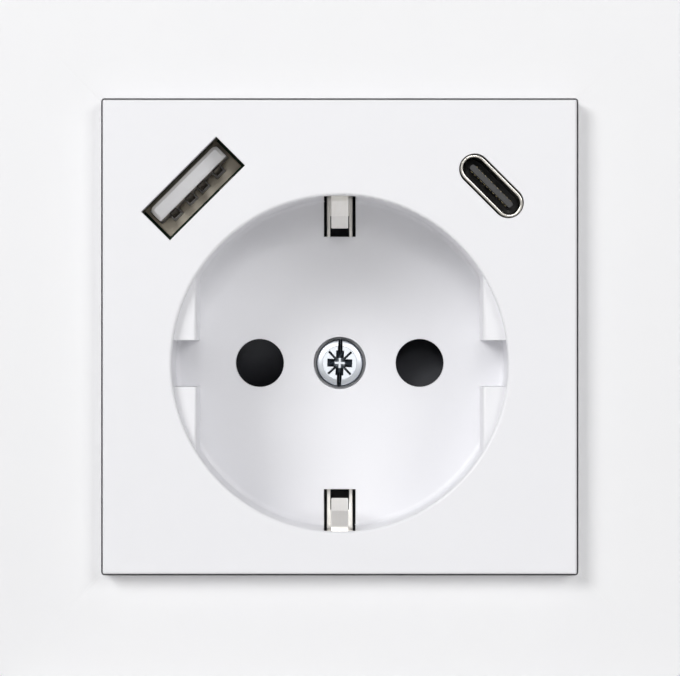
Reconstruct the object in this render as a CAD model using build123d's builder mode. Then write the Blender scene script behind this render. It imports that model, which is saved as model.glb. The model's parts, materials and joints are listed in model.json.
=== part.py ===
# Flush wall socket with side earth clips, a USB-A port and a USB-C port, in a square cover frame.
# Millimetres. The origin is the middle of the wall plane, Z is up and the room is towards -Y.
# Depths are given as heights above the wall plane: the room side is positive, the wall box negative.
import os
from math import cos, radians, sin

from build123d import *

os.makedirs("parts", exist_ok=True)

# Shared clearances, and the tolerance for picking edges and faces by size
stack_gap = 0.3
running_gap = 0.2
pivot_clearance = 0.05
slip_clearance = 0.1
same_size = 0.001

# Cover frame
frame_size = 80.0
frame_height = 9.0
frame_skin = 2.2
frame_wall = 2.0
frame_corner_radius = 1.2
frame_edge_radius = 0.5
frame_rib_thickness = 1.2
frame_rib_pitch = 18.0
window_wall = 1.5
window_corner_radius = 0.4
ledge_reach = 1.3
ledge_thickness = 1.5

# Center plate
plate_size = 55.0
plate_proud = 2.5
plate_gap = 0.25
plate_skin = 2.0
plate_corner_radius = 0.2
plate_edge_radius = 0.3
skirt_wall = 1.5

# Plug recess in the center plate
recess_diameter = 39.0
recess_depth = 17.5
recess_drop = 3.1
recess_rim_radius = 0.4
recess_floor_radius = 0.6
pot_wall = 1.5
pot_floor = 2.6
pot_gap = 0.3
rib_across = 33.2
rib_top_depth = 1.2
rib_edge_radius = 0.4
keyway_width = 5.4
pin_spacing = 19.0
pin_length = 19.0
pin_hole_diameter = 5.7

# Center screw
screw_head_diameter = 5.6
screw_head_height = 1.5
screw_seat_diameter = 6.2
screw_seat_depth = 1.7
screw_diameter = 3.0
screw_length = 7.5
screw_slot_width = 0.8
screw_slot_depth = 0.8
screw_cross_length = 3.6

# Earth bracket and its clips
earth_sheet = 0.6
earth_slot_width = 3.75
earth_slot_inner_radius = 15.0
earth_slot_lip = 1.2
earth_leg_offset = 0.7
earth_strap_width = 6.0
earth_leg_width = 3.1
earth_finger_width = 2.0
earth_window_length = 2.8
earth_fold_depth = 2.15
earth_fold_width = 1.0
earth_kink_depth = 2.95
earth_kink_reach = 2.05
earth_contact_depth = 7.55
earth_contact_reach = 3.4
earth_tip_depth = 12.35
earth_tip_reach = 2.6
earth_bend_radius = 1.0
earth_fold_radius = 0.45
earth_kink_radius = 1.5
earth_collar_wall = 0.8
earth_collar_length = 1.6
strap_neck_radius = 13.7

# Support ring
ring_gap = 2.5
ring_thickness = 1.2
ring_corner_cut = 6.0
ring_opening_radius = 4.0
box_screw_spacing = 60.0
box_slot_length = 6.0
box_slot_width = 3.6

# Ring rivets
rivet_inset = 1.6
rivet_diameter = 2.5
rivet_head_diameter = 4.2
rivet_head_height = 0.7
rivet_flare = 0.45

# Socket base
flange_thickness = 2.0
flange_border = 2.4
flange_corner_radius = 3.0
flange_notch_width = 8.0
flange_notch_web = 0.6
base_wall = 1.3
base_ring_gap = 0.3
base_corner_reach = 3.55
base_floor = 2.0
chamber_depth = 4.8
pivot_diameter = 7.0
strap_post_radius = 10.5
strap_post_diameter = 4.8
strap_peg_diameter = 2.0
board_post_width = 3.2
board_peg_diameter = 1.8
pin_passage_diameter = 6.4

# Shutter
lobe_diameter = 6.8
hub_diameter = 11.2
hub_thickness = 1.8
arm_width = 5.0
ramp_rise = 3.4

# Shutter spring
spring_wire = 0.45
spring_wire_sides = 8
spring_turns = 2.5
spring_moving_leg = 9.5
spring_fixed_leg = 6.5
spring_stop_diameter = 1.4
spring_stop_reach = 5.0

# Pin contacts and terminals
contact_thickness = 0.7
contact_width = 8.0
contact_above_pin = 4.5
contact_leg_width = 5.0
contact_pinch = 3.9
contact_flare = 5.9
contact_overrun = 2.5
solder_tab_width = 2.0
solder_tab_reach = 5.1
solder_tail = 0.8
terminal_drop = 13.5
terminal_width = 7.6
terminal_shortfall = 0.5
wire_gap = 2.6
wire_pitch = 3.8
clamp_thickness = 0.4
clamp_fold_radius = 0.9
clamp_tip_shortfall = 4.4

# Release buttons
button_width = 6.0
button_height = 2.6
button_proud = 0.5
button_shoulder = 0.5
button_tip_width = 4.6
button_tip_height = 1.1
button_edge_radius = 0.3
button_web = 0.6

# Rear cover
rear_wall = 1.4
rear_back = 2.5
rear_edge_radius = 0.8
rear_inset = 0.4
rear_clearance = 2.4
wire_entry = 2.4
wire_funnel = 3.2
partition_thickness = 1.0

# Housing screws
housing_screw_offset = 18.5
housing_screw_diameter = 2.4
housing_screw_head_diameter = 4.4
housing_screw_head_height = 1.2
housing_boss_diameter = 5.6
housing_boss_height = 4.0
housing_thread_depth = 5.0
housing_screw_drive_length = 2.6
housing_screw_drive_width = 0.6

# USB ports
usb_a_x = -17.0
usb_a_z = 17.2
usb_a_turn = 45.0
usb_a_window_width = 12.3
usb_a_window_height = 4.7
usb_a_inside_width = 12.5
usb_a_inside_height = 5.0
usb_a_cavity_depth = 9.0
usb_a_tongue_width = 10.8
usb_a_tongue_thickness = 1.84
usb_a_tongue_offset = 1.0
usb_a_tongue_setback = 1.0
usb_a_tongue_bevel = 0.35
usb_a_tongue_radius = 0.6
usb_a_finger_place = 3.1
usb_a_finger_width = 2.2
usb_a_finger_length = 3.6
usb_a_finger_reach = 0.4
usb_a_contact_width = 1.0
usb_a_contact_places = (-3.5, -1.0, 1.0, 3.5)
usb_a_contact_bow = 0.6
usb_a_contact_slot = 0.95
usb_a_flap_side_gap = 0.35
usb_a_flap_end_gap = 0.75
usb_c_x = 17.6
usb_c_z = 17.5
usb_c_turn = -45.0
usb_c_window_width = 9.1
usb_c_window_height = 3.6
usb_c_inside_width = 8.34
usb_c_inside_height = 2.6
usb_c_cavity_depth = 6.5
usb_c_mouth_setback = 0.3
usb_c_tongue_width = 6.7
usb_c_tongue_thickness = 0.7
usb_c_tongue_setback = 0.9
usb_c_contact_pitch = 0.5
usb_c_contact_width = 0.26
usb_c_contact_count = 12
usb_c_contact_height = 0.08
usb_c_contact_length = 4.6
shell_thickness = 0.3
shell_leg_width = 1.6
shell_leg_length = 2.4

# Circuit boards and their components
board_thickness = 1.6
board_clearance = 0.4
usb_board_depth = 14.5
usb_board_arch_gap = 1.3
usb_board_lower_edge = 8.0
power_board_standoff = 3.0
power_board_width = 40.0
power_board_lower_edge = 4.4
power_board_upper_edge = 23.2
header_pitch = 2.54
header_pins = 5
header_pin_width = 0.64
header_z = 21.4
header_tail = 1.2
usb_post_low = (21.6, 9.8)
usb_post_high = (8.2, 21.8)
power_post_low = (17.0, 6.6)
power_post_high = (8.6, 20.6)
core_width = 13.0
core_length = 12.0
core_height = 9.4
core_leg = 2.6
winding_gap = 0.25
transformer_x = 0.0
transformer_z = 12.6
input_capacitor_diameter = 8.0
input_capacitor_height = 9.2
output_capacitor_diameter = 6.3
output_capacitor_height = 8.2
component_bevel = 0.4
choke_diameter = 5.6
choke_height = 7.0
fuse_diameter = 4.0
fuse_height = 6.4
chip_width = 5.0
chip_length = 4.4
chip_height = 1.6
port_chip_width = 3.0
port_chip_height = 0.9
input_capacitor_place = (-13.5, 9.5)
output_capacitor_place = (13.5, 9.0)
choke_place = (-13.0, 17.5)
fuse_place = (-18.0, 15.0)
supply_chip_places = ((12.0, 16.0), (17.4, 15.4))
port_chip_place = (12.0, 21.0)

# Heights that follow from the sizes above
flange_front = ring_thickness + flange_thickness
ledge_back = flange_front + stack_gap
ledge_front = ledge_back + ledge_thickness
plate_front = frame_height + plate_proud
skin_back = plate_front - plate_skin
floor_front = plate_front - recess_depth
floor_back = floor_front - pot_floor
rib_top = plate_front - rib_top_depth
strap_back = floor_back - earth_sheet
well_front = floor_back - chamber_depth
hub_front = strap_back - stack_gap
hub_back = hub_front - hub_thickness
lobe_front = floor_back - stack_gap
shutter_back = well_front + running_gap
base_floor_back = well_front - base_floor
contact_back = base_floor_back - contact_thickness
pin_tip = floor_front - pin_length
contact_end = pin_tip - contact_overrun
terminal_end = contact_end + terminal_shortfall
usb_board_front = plate_front - usb_board_depth
usb_board_back = usb_board_front - board_thickness
power_board_front = base_floor_back - power_board_standoff
power_board_back = power_board_front - board_thickness
rear_inside = min(contact_end - rear_clearance, power_board_back - core_height - board_clearance)
rear_end = rear_inside - rear_back


# Half the reach of a rectangle along the x axis once it is turned
def turned_half(width, height, turn):
    return (width * abs(cos(radians(turn))) + height * abs(sin(radians(turn)))) / 2


# Radii and half widths that follow from the sizes above
socket_z = -recess_drop
recess_radius = recess_diameter / 2
pot_radius = recess_radius + pot_wall
pin_x = pin_spacing / 2
leg_radius = recess_radius + earth_leg_offset
usb_a_shell_width = usb_a_inside_width + 2 * shell_thickness
usb_a_shell_height = usb_a_inside_height + 2 * shell_thickness
usb_a_half_x = turned_half(usb_a_shell_width, usb_a_shell_height, usb_a_turn)
usb_a_half_z = turned_half(usb_a_shell_height, usb_a_shell_width, usb_a_turn)
base_half = max(
    recess_drop + pot_radius + pot_gap + base_wall,
    usb_a_half_x - usb_a_x + board_clearance + base_wall,
    usb_a_half_z + usb_a_z + board_clearance + base_wall,
    power_board_upper_edge + board_clearance + rear_wall + rear_inset,
)
ring_opening_half = base_half + base_ring_gap
ring_half = frame_size / 2 - frame_wall - ring_gap
rivet_offset = ring_opening_half + rivet_inset
flange_half = rivet_offset + flange_border
base_radius = base_half + base_corner_reach
rear_half = base_half - rear_inset
rear_radius = base_radius - rear_inset
pivot_radius = pivot_diameter / 2
terminal_z = socket_z - terminal_drop
wire_z = terminal_z - contact_thickness - wire_gap / 2
clamp_floor_z = -(rear_half - rear_wall)
button_z = wire_z - wire_funnel / 2 - button_web - button_height / 2
terminal_x = (-pin_x, 0.0, pin_x)
window_half = plate_size / 2 + plate_gap


# A plane parallel to the wall, seen from the room, with its x axis turned anticlockwise
def facing(height, x=0.0, z=0.0, turn=0.0):
    across = (cos(radians(turn)), 0, sin(radians(turn)))
    return Plane(origin=(x, -height, z), x_dir=across, z_dir=(0, -1, 0))


# A plane square to the wall seen from the side: its x axis is the height, its y axis is Z
def side_on(x=0.0, z=0.0):
    return Plane(origin=(x, 0, z), x_dir=(0, -1, 0), z_dir=(-1, 0, 0))


# A plane square to the wall seen from below: its x axis is X, its y axis is the height
def from_below(x=0.0, z=0.0):
    return Plane(origin=(x, 0, z), x_dir=(1, 0, 0), z_dir=(0, 0, -1))


def at_usb_a(height):
    return facing(height, usb_a_x, usb_a_z, usb_a_turn)


def at_usb_c(height):
    return facing(height, usb_c_x, usb_c_z, usb_c_turn)


# A plane through the USB-A port square to its long axis: its x axis is the height
def across_usb_a(place):
    along = Vector(cos(radians(usb_a_turn)), 0, sin(radians(usb_a_turn)))
    return Plane(origin=Vector(usb_a_x, 0, usb_a_z) + along * place, x_dir=(0, -1, 0), z_dir=-along)


# Corner places of a square pattern
def corners(offset):
    return [(x * offset, z * offset) for x in (-1, 1) for z in (-1, 1)]


# Cover frame: hollow back, window wall and the ledge that carries the plate
with BuildPart() as cover_frame:
    with BuildSketch(facing(0)):
        RectangleRounded(frame_size, frame_size, frame_corner_radius)
    extrude(amount=frame_height)
    fillet(cover_frame.faces().sort_by(Axis.Y)[0].edges(), frame_edge_radius)
    hollow = frame_size - 2 * frame_wall
    window_outside = 2 * (window_half + window_wall)
    with BuildSketch(facing(0)):
        Rectangle(hollow, hollow)
        Rectangle(window_outside, window_outside, mode=Mode.SUBTRACT)
    extrude(amount=frame_height - frame_skin, mode=Mode.SUBTRACT)
    with BuildSketch(facing(0)):
        Rectangle(window_outside, window_outside)
    extrude(amount=ledge_back, mode=Mode.SUBTRACT)
    with BuildSketch(facing(ledge_back)):
        Rectangle(plate_size - 2 * ledge_reach, plate_size - 2 * ledge_reach)
    extrude(amount=ledge_thickness, mode=Mode.SUBTRACT)
    with BuildSketch(facing(ledge_front)):
        RectangleRounded(2 * window_half, 2 * window_half, window_corner_radius)
    extrude(amount=frame_height - ledge_front, mode=Mode.SUBTRACT)
    rib_length = hollow / 2 - window_half - window_wall / 2
    with BuildSketch(facing(ledge_back)):
        for quarter in range(4):
            with Locations(Location((0, 0), 90 * quarter)):
                with Locations((hollow / 2 - rib_length / 2, 0)):
                    with GridLocations(1, frame_rib_pitch, 1, 3):
                        Rectangle(rib_length, frame_rib_thickness)
    extrude(amount=frame_height - frame_skin - ledge_back)
cover_frame.part.label = "cover_frame"
export_step(cover_frame.part, "parts/cover_frame.step")

# Center plate: skin and skirt, then the pot of the plug recess with its ribs, holes and slots
with BuildPart() as center_plate:
    with BuildSketch(facing(ledge_front)):
        RectangleRounded(plate_size, plate_size, plate_corner_radius)
    extrude(amount=plate_front - ledge_front)
    fillet(center_plate.faces().sort_by(Axis.Y)[0].edges(), plate_edge_radius)
    with BuildSketch(facing(ledge_front)):
        Rectangle(plate_size - 2 * skirt_wall, plate_size - 2 * skirt_wall)
    extrude(amount=skin_back - ledge_front, mode=Mode.SUBTRACT)
    with BuildSketch(facing(floor_back, z=socket_z)):
        Circle(pot_radius)
    extrude(amount=skin_back + plate_skin / 2 - floor_back)
    with BuildSketch(facing(floor_front, z=socket_z)):
        Circle(recess_radius)
    extrude(amount=recess_depth, mode=Mode.SUBTRACT)
    recess_rings = center_plate.edges().filter_by(GeomType.CIRCLE).filter_by(
        lambda ring: abs(ring.radius - recess_radius) < same_size
    )
    fillet(recess_rings.sort_by(Axis.Y)[0], recess_rim_radius)
    fillet(recess_rings.sort_by(Axis.Y)[-1], recess_floor_radius)
    with BuildSketch(facing(floor_front, z=socket_z)):
        Circle(recess_radius + pot_wall / 2)
        Rectangle(rib_across, 2 * pot_radius, mode=Mode.SUBTRACT)
        Rectangle(2 * pot_radius, keyway_width, mode=Mode.SUBTRACT)
    extrude(amount=rib_top - floor_front)
    rib_tops = center_plate.faces().filter_by(lambda face: abs(face.center().Y + rib_top) < same_size)
    fillet(rib_tops.edges().filter_by(Axis.Z), rib_edge_radius)
    with Locations(facing(floor_front, z=socket_z)):
        CounterBoreHole(screw_diameter / 2 + slip_clearance, screw_seat_diameter / 2, screw_seat_depth)
    with BuildSketch(facing(floor_front, z=socket_z)):
        with Locations((-pin_x, 0), (pin_x, 0)):
            Circle(pin_hole_diameter / 2)
    extrude(amount=-pot_floor, mode=Mode.SUBTRACT)
    earth_slot_length = pot_radius + pot_gap - earth_slot_inner_radius
    with BuildSketch(facing(floor_back, z=socket_z)):
        for side in (-1, 1):
            with Locations((0, side * (earth_slot_inner_radius + earth_slot_length / 2))):
                Rectangle(earth_slot_width, earth_slot_length)
    extrude(amount=plate_front - earth_slot_lip - floor_back, mode=Mode.SUBTRACT)
    with BuildSketch(at_usb_a(plate_front)):
        Rectangle(usb_a_window_width, usb_a_window_height)
    with BuildSketch(at_usb_c(plate_front)):
        SlotOverall(usb_c_window_width, usb_c_window_height)
    extrude(amount=-plate_skin, mode=Mode.SUBTRACT)
center_plate.part.label = "center_plate"
export_step(center_plate.part, "parts/center_plate.step")

# Center screw: low round head with a slot and a cross, its shank in the thread of the earth bracket
head_back = floor_front - screw_seat_depth
with BuildPart() as center_screw:
    with BuildSketch(facing(head_back, z=socket_z)):
        Circle(screw_head_diameter / 2)
    extrude(amount=screw_head_height)
    chamfer(center_screw.faces().sort_by(Axis.Y)[0].edges(), screw_head_height / 4)
    with BuildSketch(facing(head_back, z=socket_z)):
        Circle(screw_diameter / 2)
    extrude(amount=-screw_length)
    chamfer(center_screw.faces().sort_by(Axis.Y)[-1].edges(), screw_diameter / 8)
    with BuildSketch(facing(head_back + screw_head_height, z=socket_z)):
        Rectangle(screw_slot_width, screw_head_diameter)
        Rectangle(screw_cross_length, screw_slot_width)
    extrude(amount=-screw_slot_depth, mode=Mode.SUBTRACT)
center_screw.part.label = "center_screw"
export_step(center_screw.part, "parts/center_screw.step")

# Shutter: hub with two arms and two lobes whose ramps turn it when both pins press
with BuildPart() as shutter:
    with BuildSketch(facing(hub_front, z=socket_z)):
        Circle(hub_diameter / 2)
        Rectangle(pin_spacing, arm_width)
    extrude(amount=-hub_thickness)
    with BuildSketch(facing(lobe_front, z=socket_z)):
        with Locations((-pin_x, 0), (pin_x, 0)):
            Circle(lobe_diameter / 2)
    extrude(amount=shutter_back - lobe_front)
    for side in (-1, 1):
        high_z = -side * lobe_diameter / 2
        with BuildSketch(side_on(side * pin_x, socket_z)):
            with BuildLine():
                Polyline(
                    (lobe_front, high_z),
                    (lobe_front + stack_gap, high_z),
                    (lobe_front + stack_gap, -high_z),
                    (lobe_front - ramp_rise, -high_z),
                    close=True,
                )
            make_face()
        extrude(amount=lobe_diameter / 2, both=True, mode=Mode.SUBTRACT)
    with BuildSketch(facing(hub_front, z=socket_z)):
        Circle(pivot_radius + pivot_clearance)
    extrude(amount=-hub_thickness, mode=Mode.SUBTRACT)
shutter.part.label = "shutter"
export_step(shutter.part, "parts/shutter.step")

# Shutter spring: torsion coil round the pivot boss, one leg over the lobe and one under the stop peg.
# Its round wire is drawn with few sides.
coil_radius = max(lobe_diameter / 2 + stack_gap, pivot_radius + running_gap) + spring_wire / 2
coil_front = hub_back - running_gap - spring_wire / 2
coil_back = well_front + running_gap + spring_wire / 2
with BuildPart() as shutter_spring:
    with BuildLine():
        coil = Helix(
            (coil_front - coil_back) / spring_turns,
            coil_front - coil_back,
            coil_radius,
            center=(0, -coil_front, socket_z),
            direction=(0, 1, 0),
        )
        moving_leg = Line(coil @ 0 - (coil % 0) * spring_moving_leg, coil @ 0)
        Line(coil @ 1, coil @ 1 + (coil % 1) * spring_fixed_leg)
    with BuildSketch(Plane(origin=moving_leg @ 0, z_dir=moving_leg % 0)):
        RegularPolygon(spring_wire / 2, spring_wire_sides)
    sweep()
shutter_spring.part.label = "shutter_spring"
export_step(shutter_spring.part, "parts/shutter_spring.step")

# Earth bracket: strap behind the recess floor, a leg in each earth slot and a sprung finger folded over it
strap_middle = floor_back - earth_sheet / 2
fold_top = plate_front - earth_fold_depth
with BuildPart() as earth_bracket:
    for side in (-1, 1):
        with BuildSketch(side_on(z=socket_z)):
            with BuildLine():
                FilletPolyline(
                    (strap_middle, 0),
                    (strap_middle, side * leg_radius),
                    (fold_top, side * leg_radius),
                    (fold_top, side * (leg_radius - earth_fold_width)),
                    (fold_top - earth_kink_depth, side * (recess_radius - earth_kink_reach)),
                    (fold_top - earth_contact_depth, side * (recess_radius - earth_contact_reach)),
                    (fold_top - earth_tip_depth, side * (recess_radius - earth_tip_reach)),
                    radius=(
                        earth_bend_radius,
                        earth_fold_radius,
                        earth_fold_radius,
                        earth_kink_radius,
                        earth_kink_radius,
                    ),
                )
            trace(line_width=earth_sheet)
        extrude(amount=earth_strap_width / 2, both=True)
    with BuildSketch(facing(strap_back, z=socket_z)):
        Rectangle(earth_strap_width, 2 * strap_neck_radius)
        Rectangle(earth_leg_width, 2 * (leg_radius + earth_sheet))
    extrude(amount=plate_front - strap_back, mode=Mode.INTERSECT)
    finger_zone = leg_radius - earth_fold_width / 2
    with BuildSketch(facing(floor_front, z=socket_z)):
        Rectangle(earth_strap_width, 2 * finger_zone)
        Rectangle(earth_finger_width, 2 * finger_zone, mode=Mode.SUBTRACT)
    extrude(amount=recess_depth, mode=Mode.SUBTRACT)
    # window in the strap under the end of each finger
    window_middle = earth_slot_inner_radius - stack_gap + earth_window_length / 2
    with BuildSketch(facing(strap_back, z=socket_z)):
        with Locations((0, -window_middle), (0, window_middle)):
            Rectangle(earth_finger_width + 2 * slip_clearance, earth_window_length)
    extrude(amount=earth_sheet, mode=Mode.SUBTRACT)
    with BuildSketch(facing(strap_back, z=socket_z)):
        Circle(screw_diameter / 2 + earth_collar_wall)
    extrude(amount=-earth_collar_length)
    with BuildSketch(facing(floor_back, z=socket_z)):
        Circle(screw_diameter / 2 + pivot_clearance)
        with Locations((0, -strap_post_radius), (0, strap_post_radius)):
            Circle(strap_peg_diameter / 2 + pivot_clearance)
    extrude(amount=-earth_sheet - earth_collar_length, mode=Mode.SUBTRACT)
earth_bracket.part.label = "earth_bracket"
export_step(earth_bracket.part, "parts/earth_bracket.step")

# Earth busbar: foot between the strap and its lower post, blade through the base to the earth terminal
busbar_back = strap_back - contact_thickness
foot_top = socket_z - strap_post_radius + strap_post_diameter / 2
foot_bottom = terminal_z - contact_thickness
with BuildPart() as earth_busbar:
    with BuildSketch(facing(strap_back, z=(foot_top + foot_bottom) / 2)):
        Rectangle(earth_strap_width, foot_top - foot_bottom)
    extrude(amount=-contact_thickness)
    with BuildSketch(facing(strap_back, z=terminal_z - contact_thickness / 2)):
        Rectangle(terminal_width, contact_thickness)
    extrude(amount=terminal_end - strap_back)
    with BuildSketch(facing(strap_back, z=socket_z - strap_post_radius)):
        Circle(strap_peg_diameter / 2 + pivot_clearance)
    extrude(amount=-contact_thickness, mode=Mode.SUBTRACT)
earth_busbar.part.label = "earth_busbar"
export_step(earth_busbar.part, "parts/earth_busbar.step")

# Support ring: flat steel plate with slots for the wall box screws
with BuildPart() as support_ring:
    with BuildSketch(facing(0)) as ring_outline:
        Rectangle(2 * ring_half, 2 * ring_half)
        chamfer(ring_outline.vertices(), ring_corner_cut)
        ring_opening = 2 * ring_opening_half
        RectangleRounded(ring_opening, ring_opening, ring_opening_radius, mode=Mode.SUBTRACT)
        with PolarLocations(box_screw_spacing / 2, 4):
            SlotOverall(box_slot_length, box_slot_width, mode=Mode.SUBTRACT)
        with Locations(*corners(rivet_offset)):
            Circle(rivet_diameter / 2 + pivot_clearance, mode=Mode.SUBTRACT)
    extrude(amount=ring_thickness)
    rivet_rims = support_ring.faces().sort_by(Axis.Y)[-1].edges().filter_by(GeomType.CIRCLE).filter_by(
        lambda rim: abs(rim.radius - rivet_diameter / 2 - pivot_clearance) < same_size
    )
    chamfer(rivet_rims, rivet_flare)
support_ring.part.label = "support_ring"
export_step(support_ring.part, "parts/support_ring.step")

# Ring rivets: sunk head in the flange, flared end in the ring
with BuildPart() as ring_rivets:
    with BuildSketch(facing(0)):
        with Locations(*corners(rivet_offset)):
            Circle(rivet_diameter / 2)
    extrude(amount=flange_front)
    with BuildSketch(facing(flange_front)):
        with Locations(*corners(rivet_offset)):
            Circle(rivet_head_diameter / 2)
    extrude(amount=-rivet_head_height)
    with BuildSketch(facing(0)):
        with Locations(*corners(rivet_offset)):
            Circle(rivet_diameter / 2 + rivet_flare)
    extrude(amount=rivet_flare, taper=45)
ring_rivets.part.label = "ring_rivets"
export_step(ring_rivets.part, "parts/ring_rivets.step")

# Socket base: flange, tube into the wall box, floor with the pivot boss, posts and passages
usb_posts = [(side * x, z) for x, z in (usb_post_low, usb_post_high) for side in (-1, 1)]
power_posts = [(side * x, z) for x, z in (power_post_low, power_post_high) for side in (-1, 1)]
header_span = (header_pins - 1) * header_pitch
stop_z = socket_z - coil_radius + spring_wire / 2 + spring_stop_diameter / 2 + slip_clearance
with BuildPart() as socket_base:
    with BuildSketch(facing(ring_thickness)):
        RectangleRounded(2 * flange_half, 2 * flange_half, flange_corner_radius)
    extrude(amount=flange_thickness)
    # notches for the heads of the wall box screws
    notch_depth = flange_half - base_half - flange_notch_web
    with BuildSketch(facing(ring_thickness)):
        with PolarLocations(flange_half - notch_depth / 2, 4):
            Rectangle(notch_depth, flange_notch_width)
    extrude(amount=flange_thickness, mode=Mode.SUBTRACT)
    with BuildSketch(facing(ring_thickness)):
        Rectangle(2 * base_half, 2 * base_half)
        Circle(base_radius, mode=Mode.INTERSECT)
    extrude(amount=base_floor_back - ring_thickness)
    with BuildSketch(facing(well_front)):
        Rectangle(2 * (base_half - base_wall), 2 * (base_half - base_wall))
        Circle(base_radius - base_wall, mode=Mode.INTERSECT)
    extrude(amount=flange_front - well_front, mode=Mode.SUBTRACT)
    with BuildSketch(facing(flange_front)):
        with Locations(*corners(rivet_offset)):
            Circle(rivet_head_diameter / 2 + slip_clearance)
    extrude(amount=-rivet_head_height, mode=Mode.SUBTRACT)
    with BuildSketch(facing(flange_front)):
        with Locations(*corners(rivet_offset)):
            Circle(rivet_diameter / 2 + pivot_clearance)
    extrude(amount=-flange_thickness, mode=Mode.SUBTRACT)
    # pivot boss and the posts of the earth strap
    with BuildSketch(facing(well_front, z=socket_z)):
        Circle(pivot_radius)
        with Locations((0, strap_post_radius)):
            Circle(strap_post_diameter / 2)
    extrude(amount=strap_back - well_front)
    with BuildSketch(facing(well_front, z=socket_z - strap_post_radius)):
        Circle(strap_post_diameter / 2)
    extrude(amount=busbar_back - well_front)
    with BuildSketch(facing(well_front, z=socket_z)):
        with Locations((0, -strap_post_radius), (0, strap_post_radius)):
            Circle(strap_peg_diameter / 2)
    extrude(amount=floor_back - well_front)
    # stop peg of the shutter spring and bosses of the housing screws
    with BuildSketch(facing(well_front)):
        with Locations((-spring_stop_reach, stop_z)):
            Circle(spring_stop_diameter / 2)
    extrude(amount=hub_back - stack_gap - well_front)
    with BuildSketch(facing(well_front, z=socket_z)):
        with Locations((-housing_screw_offset, 0), (housing_screw_offset, 0)):
            Circle(housing_boss_diameter / 2)
    extrude(amount=housing_boss_height)
    # posts with pegs for the two boards
    with BuildSketch(facing(well_front)):
        with Locations(*usb_posts):
            Rectangle(board_post_width, board_post_width)
    extrude(amount=usb_board_back - well_front)
    with BuildSketch(facing(well_front)):
        with Locations(*usb_posts):
            Circle(board_peg_diameter / 2)
    extrude(amount=usb_board_front - well_front)
    with BuildSketch(facing(base_floor_back)):
        with Locations(*power_posts):
            Rectangle(board_post_width, board_post_width)
    extrude(amount=power_board_front - base_floor_back)
    with BuildSketch(facing(base_floor_back)):
        with Locations(*power_posts):
            Circle(board_peg_diameter / 2)
    extrude(amount=power_board_back - base_floor_back)
    # passages through the floor
    with BuildSketch(facing(base_floor_back, z=socket_z)):
        Circle(screw_diameter / 2 + earth_collar_wall + slip_clearance)
        with Locations((-pin_x, 0), (pin_x, 0)):
            Circle(pin_passage_diameter / 2)
    with BuildSketch(facing(base_floor_back)):
        with Locations((0, terminal_z - contact_thickness / 2)):
            Rectangle(terminal_width + 2 * slip_clearance, contact_thickness + 2 * slip_clearance)
        with Locations((0, header_z)):
            Rectangle(header_span + header_pitch / 2, header_pitch)
    extrude(amount=strap_back - base_floor_back, mode=Mode.SUBTRACT)
    with BuildSketch(facing(base_floor_back, z=socket_z)):
        with Locations((-housing_screw_offset, 0), (housing_screw_offset, 0)):
            Circle(housing_screw_diameter / 2 + pivot_clearance)
    extrude(amount=housing_thread_depth + slip_clearance, mode=Mode.SUBTRACT)
socket_base.part.label = "socket_base"
export_step(socket_base.part, "parts/socket_base.step")


# Pin contact: flat bar with two legs that grip the pin, a terminal blade and a solder tab
def pin_contact(side):
    x = side * pin_x
    bar_top = socket_z + contact_above_pin
    bar_bottom = terminal_z - contact_thickness
    tab_top = bar_top + solder_tab_reach
    leg_out = contact_width / 2 - contact_thickness / 2
    pinch_out = (contact_pinch + contact_thickness) / 2
    flare_out = (contact_flare + contact_thickness) / 2
    bar_middle = base_floor_back - contact_thickness / 2
    with BuildPart() as contact:
        with BuildSketch(facing(base_floor_back, x)):
            with Locations((0, (bar_top + bar_bottom) / 2)):
                Rectangle(contact_width, bar_top - bar_bottom)
            with Locations((0, (bar_top + tab_top) / 2)):
                Rectangle(solder_tab_width, tab_top - bar_top)
            with Locations((0, socket_z)):
                Circle(pin_hole_diameter / 2, mode=Mode.SUBTRACT)
        extrude(amount=-contact_thickness)
        for hand in (-1, 1):
            with BuildSketch(from_below(x, socket_z)):
                with BuildLine():
                    FilletPolyline(
                        (hand * (leg_out - contact_thickness), bar_middle),
                        (hand * leg_out, bar_middle),
                        (hand * leg_out, contact_back - contact_thickness),
                        (hand * pinch_out, (contact_back + 2 * contact_end) / 3),
                        (hand * flare_out, contact_end),
                        radius=(contact_thickness / 2, contact_thickness, contact_thickness),
                    )
                trace(line_width=contact_thickness)
            extrude(amount=contact_leg_width / 2, both=True)
        with BuildSketch(facing(base_floor_back, x, terminal_z - contact_thickness / 2)):
            Rectangle(terminal_width, contact_thickness)
        extrude(amount=terminal_end - base_floor_back)
        with BuildSketch(facing(base_floor_back, x, tab_top - contact_thickness / 2)):
            Rectangle(solder_tab_width, contact_thickness)
        extrude(amount=power_board_back - solder_tail - base_floor_back)
    return contact.part


for name, side in (("line_contact", -1), ("neutral_contact", 1)):
    pin_contact_part = pin_contact(side)
    pin_contact_part.label = name
    export_step(pin_contact_part, f"parts/{name}.step")


# Clamp spring: leaf on the terminal's floor, folded over so that its tip presses the wire on the bar
clamp_fold_height = terminal_end - clamp_thickness
clamp_low_z = clamp_floor_z + clamp_thickness / 2
clamp_high_z = clamp_low_z + 2 * clamp_fold_radius
clamp_tip_z = terminal_z - contact_thickness - clamp_thickness / 2 - stack_gap
clamp_tip_height = contact_back - clamp_tip_shortfall


def clamp_spring(x):
    with BuildPart() as clamp:
        with BuildSketch(side_on(x)):
            with BuildLine():
                FilletPolyline(
                    (clamp_tip_height + clamp_fold_radius, clamp_low_z),
                    (clamp_fold_height, clamp_low_z),
                    (clamp_fold_height, clamp_high_z),
                    (clamp_tip_height, clamp_tip_z),
                    radius=clamp_fold_radius - clamp_thickness / 4,
                )
            trace(line_width=clamp_thickness)
        extrude(amount=terminal_width / 2, both=True)
    return clamp.part


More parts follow.
